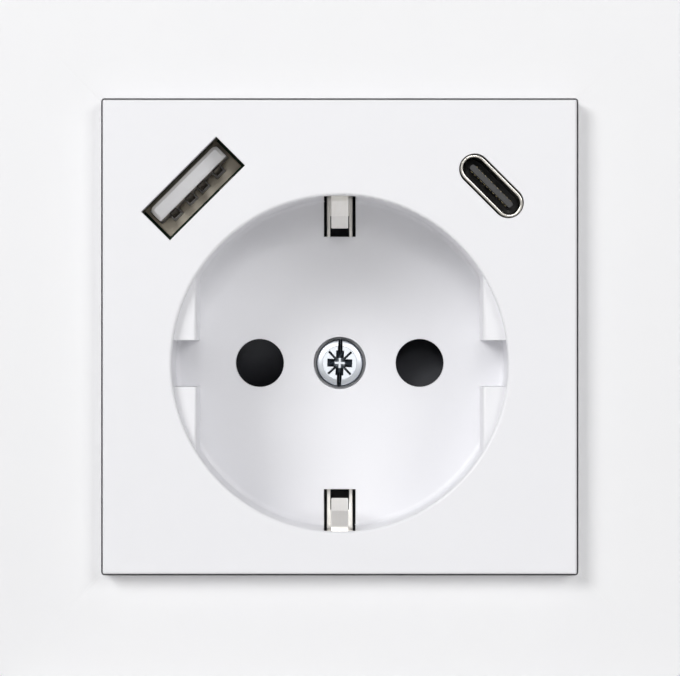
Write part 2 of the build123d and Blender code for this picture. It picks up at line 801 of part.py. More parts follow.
# Release button: head in the rear wall, shoulder inside it and a tip that bends the clamp spring
shoulder_back = rear_inside + slip_clearance
shoulder_front = shoulder_back + button_shoulder
tip_top = wire_z - wire_entry / 2 - running_gap
tip_bottom = tip_top - button_tip_height
clamp_run = (clamp_tip_height - clamp_fold_height) / (clamp_tip_z - clamp_high_z)
tip_end = clamp_fold_height + (tip_bottom - clamp_high_z) * clamp_run - clamp_thickness - stack_gap


def release_button(x):
    head_bottom = button_z - button_height / 2
    with BuildPart() as button:
        with BuildSketch(facing(rear_end - button_proud, x, button_z)):
            Rectangle(button_width, button_height)
        extrude(amount=shoulder_back - rear_end + button_proud)
        fillet(button.faces().sort_by(Axis.Y)[-1].edges(), button_edge_radius)
        with BuildSketch(facing(shoulder_back, x, (tip_top + head_bottom) / 2)):
            Rectangle(button_width + 2 * button_shoulder, tip_top - head_bottom)
        extrude(amount=button_shoulder)
        with BuildSketch(facing(shoulder_front, x, (tip_top + tip_bottom) / 2)):
            Rectangle(button_tip_width, button_tip_height)
        extrude(amount=tip_end - shoulder_front)
    return button.part


for name, x in zip(("line", "earth", "neutral"), terminal_x):
    clamp_part = clamp_spring(x)
    clamp_part.label = f"{name}_clamp_spring"
    export_step(clamp_part, f"parts/{name}_clamp_spring.step")
    button_part = release_button(x)
    button_part.label = f"{name}_release_button"
    export_step(button_part, f"parts/{name}_release_button.step")

# Rear cover: cup behind the base with screw columns, partitions, wire entries and button slots
with BuildPart() as rear_cover:
    with BuildSketch(facing(base_floor_back)):
        Rectangle(2 * rear_half, 2 * rear_half)
        Circle(rear_radius, mode=Mode.INTERSECT)
    extrude(amount=rear_end - base_floor_back)
    fillet(rear_cover.faces().sort_by(Axis.Y)[-1].edges(), rear_edge_radius)
    with BuildSketch(facing(base_floor_back)):
        Rectangle(2 * (rear_half - rear_wall), 2 * (rear_half - rear_wall))
        Circle(rear_radius - rear_wall, mode=Mode.INTERSECT)
    extrude(amount=rear_inside - base_floor_back, mode=Mode.SUBTRACT)
    with BuildSketch(facing(base_floor_back, z=socket_z)):
        with Locations((-housing_screw_offset, 0), (housing_screw_offset, 0)):
            Circle(housing_boss_diameter / 2)
    extrude(amount=rear_inside - base_floor_back)
    partition_height = terminal_z - clamp_floor_z
    with BuildSketch(facing(rear_inside, z=clamp_floor_z + partition_height / 2)):
        with Locations((-pin_x / 2, 0), (pin_x / 2, 0)):
            Rectangle(partition_thickness, partition_height)
    extrude(amount=contact_back - stack_gap - rear_inside)
    with BuildSketch(facing(rear_end)):
        for x in terminal_x:
            with Locations((x, button_z)):
                Rectangle(button_width + 2 * running_gap, button_height + 2 * running_gap)
    extrude(amount=rear_back, mode=Mode.SUBTRACT)
    for x in terminal_x:
        for hand in (-1, 1):
            with BuildSketch(facing(rear_end, x + hand * wire_pitch / 2, wire_z)):
                Rectangle(wire_funnel, wire_funnel)
            with BuildSketch(facing(rear_inside, x + hand * wire_pitch / 2, wire_z)):
                Rectangle(wire_entry, wire_entry)
            loft(mode=Mode.SUBTRACT)
    with BuildSketch(facing(rear_end, z=socket_z)):
        with Locations((-housing_screw_offset, 0), (housing_screw_offset, 0)):
            Circle(housing_screw_head_diameter / 2 + slip_clearance)
    extrude(amount=housing_screw_head_height + slip_clearance, mode=Mode.SUBTRACT)
    with BuildSketch(facing(rear_end, z=socket_z)):
        with Locations((-housing_screw_offset, 0), (housing_screw_offset, 0)):
            Circle(housing_screw_diameter / 2 + slip_clearance)
    extrude(amount=base_floor_back - rear_end, mode=Mode.SUBTRACT)
rear_cover.part.label = "rear_cover"
export_step(rear_cover.part, "parts/rear_cover.step")

# Housing screws: sunk heads at the back, threads in the bosses of the base
housing_seat = rear_end + housing_screw_head_height + slip_clearance
with BuildPart() as housing_screws:
    with BuildSketch(facing(housing_seat, z=socket_z)):
        with Locations((-housing_screw_offset, 0), (housing_screw_offset, 0)):
            Circle(housing_screw_head_diameter / 2)
    extrude(amount=-housing_screw_head_height)
    with BuildSketch(facing(housing_seat - housing_screw_head_height, z=socket_z)):
        with Locations((-housing_screw_offset, 0), (housing_screw_offset, 0)):
            Rectangle(housing_screw_drive_length, housing_screw_drive_width)
            Rectangle(housing_screw_drive_width, housing_screw_drive_length)
    extrude(amount=housing_screw_head_height / 2, mode=Mode.SUBTRACT)
    with BuildSketch(facing(housing_seat, z=socket_z)):
        with Locations((-housing_screw_offset, 0), (housing_screw_offset, 0)):
            Circle(housing_screw_diameter / 2)
    extrude(amount=base_floor_back + housing_thread_depth - housing_seat)
housing_screws.part.label = "housing_screws"
export_step(housing_screws.part, "parts/housing_screws.step")

# USB-A port: folded shell with a back plate, bevelled tongue and four sprung contacts
usb_a_mouth = skin_back - running_gap
usb_a_plate = usb_a_mouth - usb_a_cavity_depth
usb_a_tongue_front = usb_a_mouth - usb_a_tongue_setback
usb_a_tongue_low = usb_a_tongue_offset - usb_a_tongue_thickness / 2
usb_a_leg_x = (usb_a_inside_width + shell_thickness) / 2
usb_a_flap_width = usb_a_inside_width - 2 * usb_a_flap_side_gap
usb_a_flap_height = usb_a_inside_height - usb_a_flap_end_gap
contact_sheet = shell_thickness
with BuildPart() as usb_a_shell:
    with BuildSketch(at_usb_a(usb_board_front)):
        Rectangle(usb_a_shell_width, usb_a_shell_height)
    extrude(amount=usb_a_mouth - usb_board_front)
    with BuildSketch(at_usb_a(usb_a_plate)):
        Rectangle(usb_a_inside_width, usb_a_inside_height)
    extrude(amount=usb_a_cavity_depth, mode=Mode.SUBTRACT)
    with BuildSketch(at_usb_a(usb_board_front)):
        Rectangle(usb_a_inside_width, usb_a_inside_height)
    extrude(amount=usb_a_plate - shell_thickness - usb_board_front, mode=Mode.SUBTRACT)
    # back flap, folded from the upper wall and open along its other three sides
    with BuildSketch(at_usb_a(usb_a_plate)):
        Rectangle(usb_a_inside_width, usb_a_inside_height)
        with Locations((0, usb_a_flap_end_gap / 2)):
            Rectangle(usb_a_flap_width, usb_a_flap_height, mode=Mode.SUBTRACT)
        with Locations((0, usb_a_tongue_offset)):
            Rectangle(usb_a_tongue_width + 2 * slip_clearance, usb_a_tongue_thickness + 2 * slip_clearance)
        for place in usb_a_contact_places:
            with Locations((place, usb_a_tongue_low - usb_a_contact_slot / 2)):
                Rectangle(usb_a_contact_width + 2 * running_gap, usb_a_contact_slot)
    extrude(amount=-shell_thickness, mode=Mode.SUBTRACT)
    with BuildSketch(at_usb_a(usb_board_front)):
        with Locations((-usb_a_leg_x, 0), (usb_a_leg_x, 0)):
            Rectangle(shell_thickness, shell_leg_width)
    extrude(amount=-shell_leg_length)
    # sprung finger of the lower wall, which presses the plug on the tongue
    finger_low = -usb_a_inside_height / 2 - shell_thickness / 2
    finger_middle = usb_a_mouth - usb_a_finger_length / 2
    with BuildSketch(across_usb_a(usb_a_finger_place)):
        with BuildLine():
            Polyline(
                (usb_a_mouth - usb_a_finger_length, finger_low),
                (finger_middle, finger_low + shell_thickness / 2 + usb_a_finger_reach),
                (usb_a_mouth, finger_low),
                close=True,
            )
        make_face()
    extrude(amount=usb_a_finger_width / 2, both=True)
usb_a_shell.part.label = "usb_a_shell"
export_step(usb_a_shell.part, "parts/usb_a_shell.step")

with BuildPart() as usb_a_tongue:
    with BuildSketch(at_usb_a(usb_board_front)) as tongue_outline:
        with Locations((0, usb_a_tongue_offset)):
            Rectangle(usb_a_tongue_width, usb_a_tongue_thickness)
        fillet(tongue_outline.vertices().group_by(Axis.Y)[-1], usb_a_tongue_radius)
    extrude(amount=usb_a_tongue_front - usb_board_front)
    chamfer(usb_a_tongue.faces().sort_by(Axis.Y)[0].edges(), usb_a_tongue_bevel)
    with BuildSketch(at_usb_a(usb_board_front)):
        with Locations((0, usb_a_flap_end_gap / 2)):
            Rectangle(usb_a_flap_width - 2 * running_gap, usb_a_flap_height - 2 * running_gap)
    extrude(amount=usb_a_plate - shell_thickness - slip_clearance - usb_board_front)
    with BuildSketch(at_usb_a(usb_board_front)):
        for place in usb_a_contact_places:
            with Locations((place, usb_a_tongue_low - contact_sheet / 2)):
                Rectangle(usb_a_contact_width, contact_sheet)
    extrude(amount=usb_a_plate - usb_board_front, mode=Mode.SUBTRACT)
usb_a_tongue.part.label = "usb_a_tongue"
export_step(usb_a_tongue.part, "parts/usb_a_tongue.step")

with BuildPart() as usb_a_contacts:
    contact_line = usb_a_tongue_low - contact_sheet / 2
    for place in usb_a_contact_places:
        with BuildSketch(across_usb_a(place)):
            with BuildLine():
                FilletPolyline(
                    (usb_board_back - solder_tail, contact_line),
                    (usb_a_plate + usb_a_contact_bow, contact_line),
                    (usb_a_tongue_front - 2 * usb_a_contact_bow, contact_line - usb_a_contact_bow),
                    (usb_a_tongue_front - usb_a_contact_bow, contact_line),
                    radius=usb_a_contact_bow / 2,
                )
            trace(line_width=contact_sheet)
        extrude(amount=usb_a_contact_width / 2, both=True)
usb_a_contacts.part.label = "usb_a_contacts"
export_step(usb_a_contacts.part, "parts/usb_a_contacts.step")

# USB-C port: drawn shell, thin tongue and two rows of contacts
usb_c_mouth = plate_front - usb_c_mouth_setback
usb_c_block = usb_c_mouth - usb_c_cavity_depth
usb_c_tongue_front = usb_c_mouth - usb_c_tongue_setback
usb_c_leg_x = (usb_c_inside_width + shell_thickness) / 2
with BuildPart() as usb_c_shell:
    with BuildSketch(at_usb_c(usb_board_front)):
        SlotOverall(usb_c_inside_width + 2 * shell_thickness, usb_c_inside_height + 2 * shell_thickness)
        SlotOverall(usb_c_inside_width, usb_c_inside_height, mode=Mode.SUBTRACT)
    extrude(amount=usb_c_mouth - usb_board_front)
    with BuildSketch(at_usb_c(usb_board_front)):
        with Locations((-usb_c_leg_x, 0), (usb_c_leg_x, 0)):
            Rectangle(shell_thickness, shell_leg_width / 2)
    extrude(amount=-shell_leg_length)
usb_c_shell.part.label = "usb_c_shell"
export_step(usb_c_shell.part, "parts/usb_c_shell.step")

with BuildPart() as usb_c_tongue:
    with BuildSketch(at_usb_c(usb_board_front)):
        SlotOverall(usb_c_inside_width - 2 * pivot_clearance, usb_c_inside_height - 2 * pivot_clearance)
    extrude(amount=usb_c_block - usb_board_front)
    with BuildSketch(at_usb_c(usb_board_front)):
        RectangleRounded(usb_c_tongue_width, usb_c_tongue_thickness, usb_c_tongue_thickness / 3)
    extrude(amount=usb_c_tongue_front - usb_board_front)
usb_c_tongue.part.label = "usb_c_tongue"
export_step(usb_c_tongue.part, "parts/usb_c_tongue.step")

with BuildPart() as usb_c_contacts:
    with BuildSketch(at_usb_c(usb_c_block)):
        with GridLocations(
            usb_c_contact_pitch,
            usb_c_tongue_thickness + usb_c_contact_height,
            usb_c_contact_count,
            2,
        ):
            Rectangle(usb_c_contact_width, usb_c_contact_height)
    extrude(amount=usb_c_contact_length)
usb_c_contacts.part.label = "usb_c_contacts"
export_step(usb_c_contacts.part, "parts/usb_c_contacts.step")

# Header pins between the boards
header_hole = header_pin_width + slip_clearance
with BuildPart() as board_pins:
    with BuildSketch(facing(usb_board_front + header_tail)):
        with Locations((0, header_z)):
            with GridLocations(header_pitch, 1, header_pins, 1):
                Rectangle(header_pin_width, header_pin_width)
    extrude(amount=power_board_back - usb_board_front - 2 * header_tail)
board_pins.part.label = "board_pins"
export_step(board_pins.part, "parts/board_pins.step")

# USB board: arch above the pot with slots for the ports' legs
with BuildPart() as usb_board:
    board_half = base_half - base_wall - board_clearance
    with BuildSketch(facing(usb_board_front)):
        Rectangle(2 * board_half, 2 * board_half)
        Circle(base_radius - base_wall - board_clearance, mode=Mode.INTERSECT)
        with Locations((0, socket_z)):
            Circle(pot_radius + usb_board_arch_gap, mode=Mode.SUBTRACT)
        with Locations((0, usb_board_lower_edge - frame_size / 2)):
            Rectangle(frame_size, frame_size, mode=Mode.SUBTRACT)
        with Locations(*usb_posts):
            Circle(board_peg_diameter / 2 + pivot_clearance, mode=Mode.SUBTRACT)
        with Locations((0, header_z)):
            with GridLocations(header_pitch, 1, header_pins, 1):
                Rectangle(header_hole, header_hole, mode=Mode.SUBTRACT)
    extrude(amount=-board_thickness)
    with BuildSketch(at_usb_a(usb_board_front)):
        with Locations((-usb_a_leg_x, 0), (usb_a_leg_x, 0)):
            Rectangle(shell_thickness + slip_clearance, shell_leg_width + slip_clearance)
        for place in usb_a_contact_places:
            with Locations((place, usb_a_tongue_low - contact_sheet / 2)):
                Rectangle(usb_a_contact_width + slip_clearance, contact_sheet + slip_clearance)
    with BuildSketch(at_usb_c(usb_board_front)):
        with Locations((-usb_c_leg_x, 0), (usb_c_leg_x, 0)):
            Rectangle(shell_thickness + slip_clearance, shell_leg_width / 2 + slip_clearance)
    extrude(amount=-board_thickness, mode=Mode.SUBTRACT)
usb_board.part.label = "usb_board"
export_step(usb_board.part, "parts/usb_board.step")

# Power board: upper half of the rear cover
tab_z = socket_z + contact_above_pin + solder_tab_reach - contact_thickness / 2
with BuildPart() as power_board:
    with BuildSketch(facing(power_board_front)):
        with Locations((0, (power_board_lower_edge + power_board_upper_edge) / 2)):
            Rectangle(power_board_width, power_board_upper_edge - power_board_lower_edge)
        Circle(rear_radius - rear_wall - board_clearance, mode=Mode.INTERSECT)
        with Locations(*power_posts):
            Circle(board_peg_diameter / 2 + pivot_clearance, mode=Mode.SUBTRACT)
        with Locations((0, header_z)):
            with GridLocations(header_pitch, 1, header_pins, 1):
                Rectangle(header_hole, header_hole, mode=Mode.SUBTRACT)
        with Locations((-pin_x, tab_z), (pin_x, tab_z)):
            Rectangle(
                solder_tab_width + slip_clearance,
                contact_thickness + slip_clearance,
                mode=Mode.SUBTRACT,
            )
    extrude(amount=-board_thickness)
power_board.part.label = "power_board"
export_step(power_board.part, "parts/power_board.step")

# Transformer: ferrite frame with a middle leg, and the winding round that leg
with BuildPart() as transformer_core:
    with BuildSketch(facing(power_board_back, transformer_x, transformer_z)):
        Rectangle(core_width, core_length)
        for hand in (-1, 1):
            with Locations((hand * (core_width - core_leg) / 4, 0)):
                Rectangle((core_width - 3 * core_leg) / 2, core_length - 2 * core_leg, mode=Mode.SUBTRACT)
    extrude(amount=-core_height)
transformer_core.part.label = "transformer_core"
export_step(transformer_core.part, "parts/transformer_core.step")

with BuildPart() as transformer_winding:
    with BuildSketch(facing(power_board_back, transformer_x, transformer_z)):
        Rectangle(core_width - 2 * core_leg - 2 * winding_gap, core_length - 2 * core_leg - 2 * winding_gap)
        Rectangle(core_leg + 2 * winding_gap, core_length, mode=Mode.SUBTRACT)
    extrude(amount=-core_height + winding_gap)
transformer_winding.part.label = "transformer_winding"
export_step(transformer_winding.part, "parts/transformer_winding.step")


# Round component standing on the back of the power board
def standing_can(place, diameter, height):
    with BuildPart() as can:
        with BuildSketch(facing(power_board_back, *place)):
            Circle(diameter / 2)
        extrude(amount=-height)
        chamfer(can.faces().sort_by(Axis.Y)[-1].edges(), component_bevel)
    return can.part


for name, place, diameter, height in (
    ("input_capacitor", input_capacitor_place, input_capacitor_diameter, input_capacitor_height),
    ("output_capacitor", output_capacitor_place, output_capacitor_diameter, output_capacitor_height),
    ("supply_choke", choke_place, choke_diameter, choke_height),
    ("supply_fuse", fuse_place, fuse_diameter, fuse_height),
):
    can_part = standing_can(place, diameter, height)
    can_part.label = name
    export_step(can_part, f"parts/{name}.step")

# Chips: two on the power board, one beside the USB-C port
with BuildPart() as supply_chips:
    with BuildSketch(facing(power_board_back)):
        with Locations(*supply_chip_places):
            Rectangle(chip_width, chip_length)
    extrude(amount=-chip_height)
supply_chips.part.label = "supply_chips"
export_step(supply_chips.part, "parts/supply_chips.step")

with BuildPart() as port_chip:
    with BuildSketch(facing(usb_board_front, *port_chip_place)):
        Rectangle(port_chip_width, port_chip_width)
    extrude(amount=port_chip_height)
port_chip.part.label = "port_chip"
export_step(port_chip.part, "parts/port_chip.step")
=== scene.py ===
import json
from math import cos, pi, radians, sin

import bmesh
import bpy
from mathutils import Matrix, Vector


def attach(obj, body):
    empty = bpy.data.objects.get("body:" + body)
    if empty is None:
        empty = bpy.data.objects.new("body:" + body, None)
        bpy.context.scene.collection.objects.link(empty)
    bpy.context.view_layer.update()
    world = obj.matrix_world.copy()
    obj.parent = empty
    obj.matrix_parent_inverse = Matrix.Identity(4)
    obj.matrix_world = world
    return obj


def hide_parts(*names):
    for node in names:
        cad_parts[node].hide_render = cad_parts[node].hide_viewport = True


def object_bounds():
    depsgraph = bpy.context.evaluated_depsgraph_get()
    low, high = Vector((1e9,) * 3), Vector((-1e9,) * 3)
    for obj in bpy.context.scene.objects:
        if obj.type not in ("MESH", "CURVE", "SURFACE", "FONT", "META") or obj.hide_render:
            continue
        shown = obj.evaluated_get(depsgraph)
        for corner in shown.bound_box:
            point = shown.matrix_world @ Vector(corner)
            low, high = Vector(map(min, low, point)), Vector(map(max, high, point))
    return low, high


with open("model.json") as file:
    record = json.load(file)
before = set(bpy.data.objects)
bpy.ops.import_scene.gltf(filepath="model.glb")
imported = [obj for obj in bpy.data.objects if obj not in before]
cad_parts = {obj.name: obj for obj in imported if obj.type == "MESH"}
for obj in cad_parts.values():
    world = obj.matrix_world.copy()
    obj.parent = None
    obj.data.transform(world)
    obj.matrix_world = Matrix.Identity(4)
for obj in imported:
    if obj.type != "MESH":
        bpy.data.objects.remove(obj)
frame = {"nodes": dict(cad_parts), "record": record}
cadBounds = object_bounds()
nodes = frame["nodes"]
bodyOf = {node: body for body, members in frame["record"]["behaviour"]["bodies"].items() for node in members}
slotOf = {entry["node"]: entry["material_slot"] for entry in frame["record"]["subparts"]}
mm = 0.001
print("frame loaded:", len(nodes), "nodes")


# sRGB code to the linear colour that the shader works in
def linear(code):
    values = [int(code[i:i + 2], 16) / 255 for i in (1, 3, 5)]
    return [v / 12.92 if v <= 0.04045 else ((v + 0.055) / 1.055) ** 2.4 for v in values] + [1.0]


# One node, with its settings and its inputs: a socket is linked, anything else is a value
def addNode(tree, kind, settings, inputs):
    node = tree.nodes.new(kind)
    for key, value in settings.items():
        setattr(node, key, value)
    for key, value in inputs.items():
        if isinstance(value, bpy.types.NodeSocket):
            tree.links.new(value, node.inputs[key])
        else:
            node.inputs[key].default_value = value
    return node


# Sockets of a Mix node that mixes colours: its names are shared by other kinds of value, so they go by number
mixFactor, mixFirst, mixSecond, mixResult = 0, 6, 7, 2

# What a finish has unless its own look says otherwise: no streaks, no metal, plain gloss, no clear coat
plainLook = {"stretch": (1, 1, 1), "metallic": 0.0, "specular": 0.5, "coat": 0.0, "coatRough": 0.1}

# Noise that all finishes share: its detail, and the part of its range that spans the roughness
noise = {"toneDetail": 3.0, "toneRough": 0.55, "fineDetail": 2.0, "low": 0.3, "high": 0.7}


# Empty material with its node tree
def newMaterial(name):
    material = bpy.data.materials.new(name)
    material.use_nodes = True
    material.node_tree.nodes.clear()
    return material, material.node_tree


# Surface with a drifting tone, a drifting gloss and a fine relief, all sized in mm
def surface(name, ownLook):
    look = {**plainLook, **ownLook}
    material, tree = newMaterial(name)
    place = addNode(tree, "ShaderNodeTexCoord", {}, {}).outputs["Object"]
    along = addNode(tree, "ShaderNodeMapping", {}, {
        "Vector": place, "Scale": look["stretch"]}).outputs["Vector"]
    drift = addNode(tree, "ShaderNodeTexNoise", {}, {
        "Vector": along, "Scale": 1 / (look["toneSize"] * mm), "Detail": noise["toneDetail"],
        "Roughness": noise["toneRough"]})
    tone = addNode(tree, "ShaderNodeMix", {"data_type": "RGBA"}, {
        mixFactor: drift.outputs["Fac"], mixFirst: linear(look["tone"]),
        mixSecond: linear(look["otherTone"])})
    gloss = addNode(tree, "ShaderNodeTexNoise", {}, {
        "Vector": along, "Scale": 1 / (look["roughSize"] * mm), "Detail": noise["fineDetail"]})
    rough = addNode(tree, "ShaderNodeMapRange", {}, {
        "Value": gloss.outputs["Fac"], "From Min": noise["low"], "From Max": noise["high"],
        "To Min": look["rough"][0], "To Max": look["rough"][1]})
    relief = addNode(tree, "ShaderNodeTexNoise", {}, {
        "Vector": along, "Scale": 1 / (look["reliefSize"] * mm), "Detail": noise["fineDetail"]})
    bump = addNode(tree, "ShaderNodeBump", {}, {
        "Height": relief.outputs["Fac"], "Strength": 1.0, "Distance": look["relief"] * mm})
    shader = addNode(tree, "ShaderNodeBsdfPrincipled", {}, {
        "Base Color": tone.outputs[mixResult], "Metallic": look["metallic"],
        "Roughness": rough.outputs["Result"], "Specular IOR Level": look["specular"],
        "Coat Weight": look["coat"], "Coat Roughness": look["coatRough"], "Normal": bump.outputs["Normal"]})
    addNode(tree, "ShaderNodeOutputMaterial", {}, {"Surface": shader.outputs["BSDF"]})
    return material


# Finishes by slot of the record; each note says what the making gives the eye
looks = {
    # neutral white moulding from a polished tool: soft sheen, a trace of orange peel
    "white_cover": ("polycarbonate_moulded_white", {
        "tone": "#f3f3f4", "otherTone": "#f1f1f3", "toneSize": 20.0, "rough": (0.36, 0.42), "roughSize": 9.0,
        "relief": 0.002, "reliefSize": 1.6, "specular": 0.4}),
    # bright zinc bath: silvery with a cold cast and cloudy gloss
    "zinc_plated_steel": ("steel_bright_zinc_plated", {
        "tone": "#e2e6eb", "otherTone": "#d6dbe1", "toneSize": 1.2, "metallic": 1.0, "rough": (0.3, 0.36),
        "roughSize": 0.6, "relief": 0.001, "reliefSize": 0.5}),
    # cold drawn wire and rolled strip: grey, streaked along its length
    "spring_steel": ("spring_steel_drawn", {
        "tone": "#a9abad", "otherTone": "#8f9194", "toneSize": 0.9, "metallic": 1.0, "rough": (0.26, 0.38),
        "roughSize": 0.5, "relief": 0.002, "reliefSize": 0.25, "stretch": (1, 0.2, 1)}),
    # satin tool surface in black: dull broad highlights with a faint blue cast
    "black_shutter": ("polyamide_moulded_satin_black", {
        "tone": "#313237", "otherTone": "#2a2b30", "toneSize": 2.5, "rough": (0.46, 0.56), "roughSize": 0.7,
        "relief": 0.006, "reliefSize": 0.35}),
    # satin nickel over rolled bronze: warm pale silver, soft gleam with rolling streaks along the clip
    "nickel_plated_bronze": ("bronze_satin_nickel_plated", {
        "tone": "#fbf9f5", "otherTone": "#f5f2eb", "toneSize": 0.8, "metallic": 1.0, "rough": (0.4, 0.5),
        "roughSize": 0.5, "relief": 0.001, "reliefSize": 0.4, "stretch": (3, 0.4, 0.4)}),
    # stamped strip left bare: yellow metal, dulled in patches by handling
    "contact_brass": ("brass_stamped_bare", {
        "tone": "#cda968", "otherTone": "#b98f4c", "toneSize": 2.0, "metallic": 1.0, "rough": (0.24, 0.4),
        "roughSize": 0.9, "relief": 0.003, "reliefSize": 0.3}),
    # spark-eroded tool surface: even matt grain without highlights
    "dark_housing": ("polyamide_moulded_spark_textured", {
        "tone": "#45464b", "otherTone": "#3c3d42", "toneSize": 6.0, "rough": (0.55, 0.7), "roughSize": 1.2,
        "relief": 0.03, "reliefSize": 0.45}),
    # satin moulding in signal orange, so that the release is found at a glance
    "orange_button": ("polyamide_moulded_satin_orange", {
        "tone": "#e3741f", "otherTone": "#d9671a", "toneSize": 3.0, "rough": (0.4, 0.5), "roughSize": 0.8,
        "relief": 0.005, "reliefSize": 0.4}),
    # folded sheet with a thin nickel bath: dark warm grey where the port shades it
    "nickel_plated_steel": ("steel_folded_nickel_plated", {
        "tone": "#cfcbc5", "otherTone": "#c2beb6", "toneSize": 1.5, "metallic": 1.0, "rough": (0.16, 0.22),
        "roughSize": 1.5, "relief": 0.0006, "reliefSize": 0.6}),
    # the same sheet with a dull bath, its tone painted darker as the shade inside the port: flat warm grey
    # without clear reflections
    "dark_nickel_plated_steel": ("steel_folded_nickel_painted_shade", {
        "tone": "#beb8ac", "otherTone": "#b1ab9f", "toneSize": 1.5, "metallic": 1.0, "rough": (0.44, 0.52),
        "roughSize": 1.5, "relief": 0.0006, "reliefSize": 0.6}),
    # glass-filled white moulding: dry, slightly cold white
    "white_insulator": ("liquid_crystal_polymer_moulded_white", {
        "tone": "#f6f6f8", "otherTone": "#f0f0f2", "toneSize": 1.5, "rough": (0.4, 0.52), "roughSize": 0.6,
        "relief": 0.004, "reliefSize": 0.3}),
    # glass-filled black moulding: dry dark grey
    "black_insulator": ("liquid_crystal_polymer_moulded_black", {
        "tone": "#3a3a3b", "otherTone": "#313132", "toneSize": 1.2, "rough": (0.4, 0.55), "roughSize": 0.5,
        "relief": 0.004, "reliefSize": 0.3}),
    # flash of gold on stamped strip, its yellow muted and darkened as painted shade of the depth of the port
    "gold_plated_contact": ("bronze_gold_flash_painted_shade", {
        "tone": "#9c9074", "otherTone": "#8c8062", "toneSize": 0.6, "metallic": 1.0, "rough": (0.18, 0.28),
        "roughSize": 0.3, "relief": 0.001, "reliefSize": 0.2}),
    # stamped strip painted nearly black as painted shade of the port where the contacts sit, with a thin
    # bright line on each bend
    "dark_plated_contact": ("bronze_strip_painted_shade", {
        "tone": "#5c5a58", "otherTone": "#4e4c4a", "toneSize": 0.6, "metallic": 1.0, "rough": (0.26, 0.36),
        "roughSize": 0.3, "relief": 0.001, "reliefSize": 0.2}),
    # pressed and sintered powder: dull dark grey with fine grain
    "ferrite": ("ferrite_sintered", {
        "tone": "#4a4b4d", "otherTone": "#3d3e40", "toneSize": 0.8, "rough": (0.6, 0.75), "roughSize": 0.5,
        "relief": 0.015, "reliefSize": 0.3}),
    # enamelled wire: red-brown metal under a clear glossy skin
    "copper_winding": ("copper_wire_enamelled", {
        "tone": "#b8623a", "otherTone": "#a04e2b", "toneSize": 1.0, "metallic": 1.0, "rough": (0.3, 0.4),
        "roughSize": 0.4, "relief": 0.001, "reliefSize": 0.2, "coat": 0.6}),
    # plastic sleeve shrunk over a can: dark blue with soft waves
    "component_sleeve": ("sleeve_shrunk_dark_blue", {
        "tone": "#232a3c", "otherTone": "#1d2333", "toneSize": 3.0, "rough": (0.25, 0.36), "roughSize": 1.0,
        "relief": 0.01, "reliefSize": 1.2}),
    # shrunk tube: black, dull
    "choke_coating": ("tube_shrunk_black", {
        "tone": "#26272a", "otherTone": "#1f2023", "toneSize": 2.0, "rough": (0.45, 0.6), "roughSize": 0.8,
        "relief": 0.012, "reliefSize": 0.9}),
    # dipped lacquer: glossy red-brown with an uneven skin
    "fuse_coating": ("lacquer_dipped_red_brown", {
        "tone": "#7c2c22", "otherTone": "#6a231b", "toneSize": 1.5, "rough": (0.2, 0.3), "roughSize": 0.8,
        "relief": 0.015, "reliefSize": 0.9}),
    # resin moulded round a chip: matt black with a fine tool grain
    "chip_package": ("epoxy_resin_moulded", {
        "tone": "#2b2c2e", "otherTone": "#232426", "toneSize": 1.0, "rough": (0.55, 0.7), "roughSize": 0.4,
        "relief": 0.006, "reliefSize": 0.2}),
}
finishes = {slot: surface(name, look) for slot, (name, look) in looks.items()}
zinc = finishes["zinc_plated_steel"]

# Share of a face's normal along Y below which the face counts as steep
steepest = 0.5


# Board laminate: green mask over a glass weave, drawn coarser than its real 0.5 mm, with bare tan edges
def laminate(name, look):
    material, tree = newMaterial(name)
    coords = addNode(tree, "ShaderNodeTexCoord", {}, {}).outputs
    waves = [addNode(tree, "ShaderNodeTexWave", {"bands_direction": axis}, {
        "Vector": coords["Object"], "Scale": 1 / (look["weave"] * mm) / (2 * pi),
        "Distortion": look["waviness"]}).outputs["Fac"] for axis in ("X", "Z")]
    weave = addNode(tree, "ShaderNodeMath", {"operation": "MULTIPLY"}, {
        0: waves[0], 1: waves[1]}).outputs["Value"]
    mask = addNode(tree, "ShaderNodeMix", {"data_type": "RGBA"}, {
        mixFactor: weave, mixFirst: linear(look["mask"]), mixSecond: linear(look["thinMask"])})
    normal = addNode(tree, "ShaderNodeSeparateXYZ", {}, {"Vector": coords["Normal"]}).outputs["Y"]
    facing = addNode(tree, "ShaderNodeMath", {"operation": "ABSOLUTE"}, {0: normal}).outputs["Value"]
    edge = addNode(tree, "ShaderNodeMath", {"operation": "LESS_THAN"}, {0: facing, 1: steepest})
    tone = addNode(tree, "ShaderNodeMix", {"data_type": "RGBA"}, {
        mixFactor: edge.outputs["Value"], mixFirst: mask.outputs[mixResult], mixSecond: linear(look["edge"])})
    bump = addNode(tree, "ShaderNodeBump", {}, {
        "Height": weave, "Strength": 1.0, "Distance": look["relief"] * mm})
    shader = addNode(tree, "ShaderNodeBsdfPrincipled", {}, {
        "Base Color": tone.outputs[mixResult], "Roughness": look["rough"], "Normal": bump.outputs["Normal"]})
    addNode(tree, "ShaderNodeOutputMaterial", {}, {"Surface": shader.outputs["BSDF"]})
    return material


finishes["circuit_board"] = laminate("glass_laminate_green_mask", {
    "weave": 0.8, "waviness": 0.4, "mask": "#1d5a3a", "thinMask": "#2a6b46", "edge": "#a89a68",
    "relief": 0.006, "rough": 0.32})
# painted shade: the walls of a screw's recess and the rim of its head take the same zinc made dull and dark,
# standing in for the shade that falls there
paintedShadeZinc = surface("steel_zinc_painted_shade", dict(
    looks["zinc_plated_steel"][1], tone="#6f767e", otherTone="#5e656c", rough=(0.26, 0.36)))
# the plate is moulded from the same white with a trace of lilac
plateFinish = surface("polycarbonate_moulded_lilac_white", dict(
    looks["white_cover"][1], tone="#f1f1f4", otherTone="#efeff2"))


# Finish of a CAD node: that of its slot, apart from the plate's own white
def finishOf(name):
    return plateFinish if name == "center_plate" else finishes[slotOf[name]]


